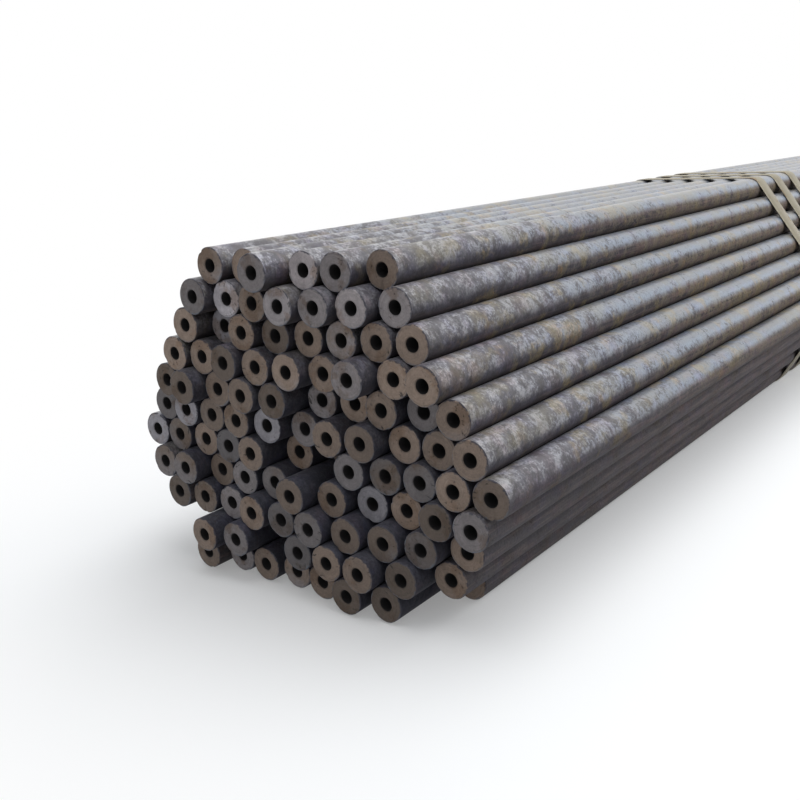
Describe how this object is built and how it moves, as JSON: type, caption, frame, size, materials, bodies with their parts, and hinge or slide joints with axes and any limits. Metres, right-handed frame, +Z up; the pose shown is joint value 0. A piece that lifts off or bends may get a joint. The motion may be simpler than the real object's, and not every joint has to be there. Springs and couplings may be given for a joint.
{
  "type": "bundle of steel pipes",
  "caption": "Hexagonal bundle of long thick-walled steel pipes with uneven sawn ends and mill-scaled, rust-stained sides, held by groups of flat steel straps.",
  "frame": {"origin": "on the floor under the middle of the bundle's bounding box", "axes": "+Y along the pipes, away from the end that the picture shows; +Z up; +X to the right seen from that end"},
  "size_m": [0.4198, 6.0864, 0.3081],
  "materials": {
    "pipe_steel": "grey-brown mill scale with ochre rust stains; ends sawn and dull",
    "strap_steel": "dull tan painted strapping"
  },
  "bodies": {
    "root": {"pipe_row_01": "pipe_steel", "pipe_row_02": "pipe_steel", "pipe_row_03": "pipe_steel", "pipe_row_04": "pipe_steel", "pipe_row_05": "pipe_steel", "pipe_row_06": "pipe_steel", "pipe_row_07": "pipe_steel", "pipe_row_08": "pipe_steel", "pipe_row_09": "pipe_steel", "pipe_row_10": "pipe_steel", "pipe_row_11": "pipe_steel", "seal_far_1": "strap_steel", "seal_far_2": "strap_steel", "seal_far_3": "strap_steel", "seal_middle_1": "strap_steel", "seal_middle_2": "strap_steel", "seal_middle_3": "strap_steel", "seal_near_1": "strap_steel", "seal_near_2": "strap_steel", "seal_near_3": "strap_steel", "strap_far_1": "strap_steel", "strap_far_2": "strap_steel", "strap_far_3": "strap_steel", "strap_middle_1": "strap_steel", "strap_middle_2": "strap_steel", "strap_middle_3": "strap_steel", "strap_near_1": "strap_steel", "strap_near_2": "strap_steel", "strap_near_3": "strap_steel"}
  },
  "joints": []
}
